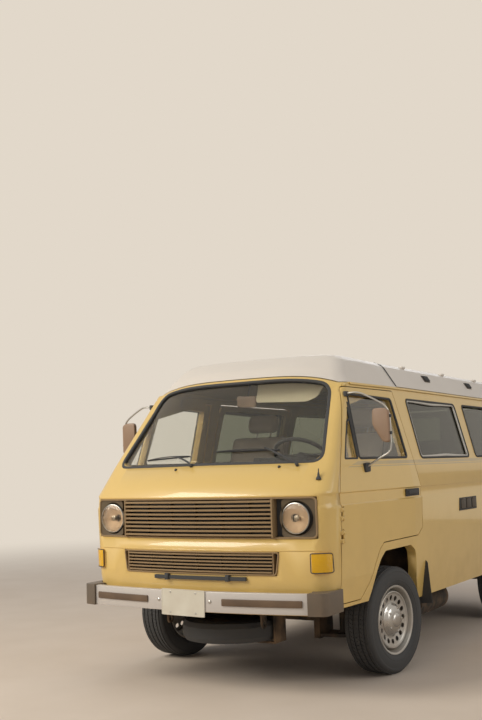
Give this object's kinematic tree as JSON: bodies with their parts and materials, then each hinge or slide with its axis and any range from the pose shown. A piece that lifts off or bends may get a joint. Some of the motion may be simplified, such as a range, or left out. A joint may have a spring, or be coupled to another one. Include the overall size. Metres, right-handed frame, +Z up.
{
  "type": "camper van",
  "caption": "Forward-control camper van with hinged doors, tailgate, rising roof, steered front wheels and a fitted cabin.",
  "frame": {"origin": "on the road under the middle of the van's length and width", "axes": "+X to the van's left, +Y to its rear, +Z up"},
  "size_m": [2.056, 4.5797, 2.048],
  "materials": {
    "yellow_paint": "gloss",
    "white_moulding": "satin",
    "glass": "clear",
    "amber": "gloss",
    "red_lens": "gloss",
    "black_plastic": "matte",
    "grey_plastic": "matte",
    "bumper_steel": "satin",
    "dark_steel": "matte",
    "cast": "rough",
    "wheel_steel": "satin",
    "tyre_rubber": "matte",
    "black_rubber": "matte",
    "seat_cloth": "woven",
    "canvas": "woven",
    "wood_board": "satin",
    "plate_white": "satin",
    "mirror_black": "satin"
  },
  "bodies": {
    "body": {"floor_pan": "dark_steel", "rear_deck": "dark_steel", "wheel_housings": "dark_steel", "frame_rails": "dark_steel", "nose_panel": "yellow_paint", "side_wall_left": "yellow_paint", "side_wall_right": "yellow_paint", "rear_frame": "yellow_paint", "roof_panel": "yellow_paint", "sliding_door": "yellow_paint", "windscreen": "glass", "side_glass": "glass", "luggage_tray": "white_moulding", "tent_canvas": "canvas", "dashboard": "black_plastic", "front_seats": "seat_cloth", "rear_bench": "seat_cloth", "cabinets": "wood_board", "grilles": "grey_plastic", "headlamps": "glass", "corner_lamps": "amber", "tail_lamps": "red_lens", "bumpers": "bumper_steel", "bumper_trim": "black_rubber", "number_plates": "plate_white", "wipers": "black_plastic", "service_panel": "black_plastic", "engine": "cast", "exhaust": "dark_steel", "tanks": "dark_steel", "front_axle": "dark_steel", "rear_axle": "dark_steel", "spare_tyre": "tyre_rubber", "spare_carrier": "dark_steel", "mud_flaps": "black_rubber", "tow_points": "dark_steel"},
    "left_door": {"door_left": "yellow_paint", "door_glass_left": "glass", "mirror_left": "mirror_black"},
    "right_door": {"door_right": "yellow_paint", "door_glass_right": "glass", "mirror_right": "mirror_black"},
    "tail_gate": {"tailgate": "yellow_paint", "tailgate_glass": "glass"},
    "rising_roof": {"pop_top": "white_moulding"},
    "steering": {"steering_wheel": "black_plastic"},
    "left_knuckle": {"knuckle_left": "cast"},
    "right_knuckle": {"knuckle_right": "cast"},
    "front_left_wheel": {"tyre_front_left": "tyre_rubber", "rim_front_left": "wheel_steel"},
    "front_right_wheel": {"tyre_front_right": "tyre_rubber", "rim_front_right": "wheel_steel"},
    "rear_left_wheel": {"tyre_rear_left": "tyre_rubber", "rim_rear_left": "wheel_steel"},
    "rear_right_wheel": {"tyre_rear_right": "tyre_rubber", "rim_rear_right": "wheel_steel"}
  },
  "joints": [
    {"name": "left_door_hinge", "type": "hinge", "parent": "body", "child": "left_door", "pos_m": [0.868, -1.936, 0.965], "axis": [0, 0, -1], "range_deg": [0, 65]},
    {"name": "right_door_hinge", "type": "hinge", "parent": "body", "child": "right_door", "pos_m": [-0.868, -1.936, 0.965], "axis": [0, 0, 1], "range_deg": [0, 65]},
    {"name": "tailgate_hinge", "type": "hinge", "parent": "body", "child": "tail_gate", "pos_m": [0, 2.034, 1.813], "axis": [1, 0, 0], "range_deg": [0, 88]},
    {"name": "pop_top_hinge", "type": "hinge", "parent": "body", "child": "rising_roof", "pos_m": [0, 2.02, 1.853], "axis": [-1, 0, 0], "range_deg": [0, 20], "deforming": ["tent_canvas"]},
    {"name": "steering_left", "type": "hinge", "parent": "body", "child": "left_knuckle", "pos_m": [0.7, -1.223, 0.331], "axis": [0, 0, 1], "range_deg": [-27, 43]},
    {"name": "steering_right", "type": "hinge", "parent": "body", "child": "right_knuckle", "pos_m": [-0.7, -1.223, 0.331], "axis": [0, 0, 1], "range_deg": [-27, 43]},
    {"name": "steering_wheel_turn", "type": "hinge", "parent": "body", "child": "steering", "pos_m": [0.37, -1.455, 1.362], "axis": [0, 0.6428, 0.766], "range_deg": [-459, 731]},
    {"name": "front_left_wheel_turn", "type": "hinge", "parent": "left_knuckle", "child": "front_left_wheel", "pos_m": [0.78912, -1.23553, 0.331], "axis": [0.9903, -0.1392, 0], "continuous": true},
    {"name": "rear_left_wheel_turn", "type": "hinge", "parent": "body", "child": "rear_left_wheel", "pos_m": [0.79, 1.238, 0.331], "axis": [1, 0, 0], "continuous": true},
    {"name": "front_right_wheel_turn", "type": "hinge", "parent": "right_knuckle", "child": "front_right_wheel", "pos_m": [-0.78912, -1.21047, 0.331], "axis": [0.9903, -0.1392, 0], "continuous": true},
    {"name": "rear_right_wheel_turn", "type": "hinge", "parent": "body", "child": "rear_right_wheel", "pos_m": [-0.79, 1.238, 0.331], "axis": [1, 0, 0], "continuous": true}
  ],
  "couplings": [
    {"joint": "steering_right", "follows": "steering_left", "ratio": 1},
    {"joint": "steering_wheel_turn", "follows": "steering_left", "ratio": 17}
  ]
}
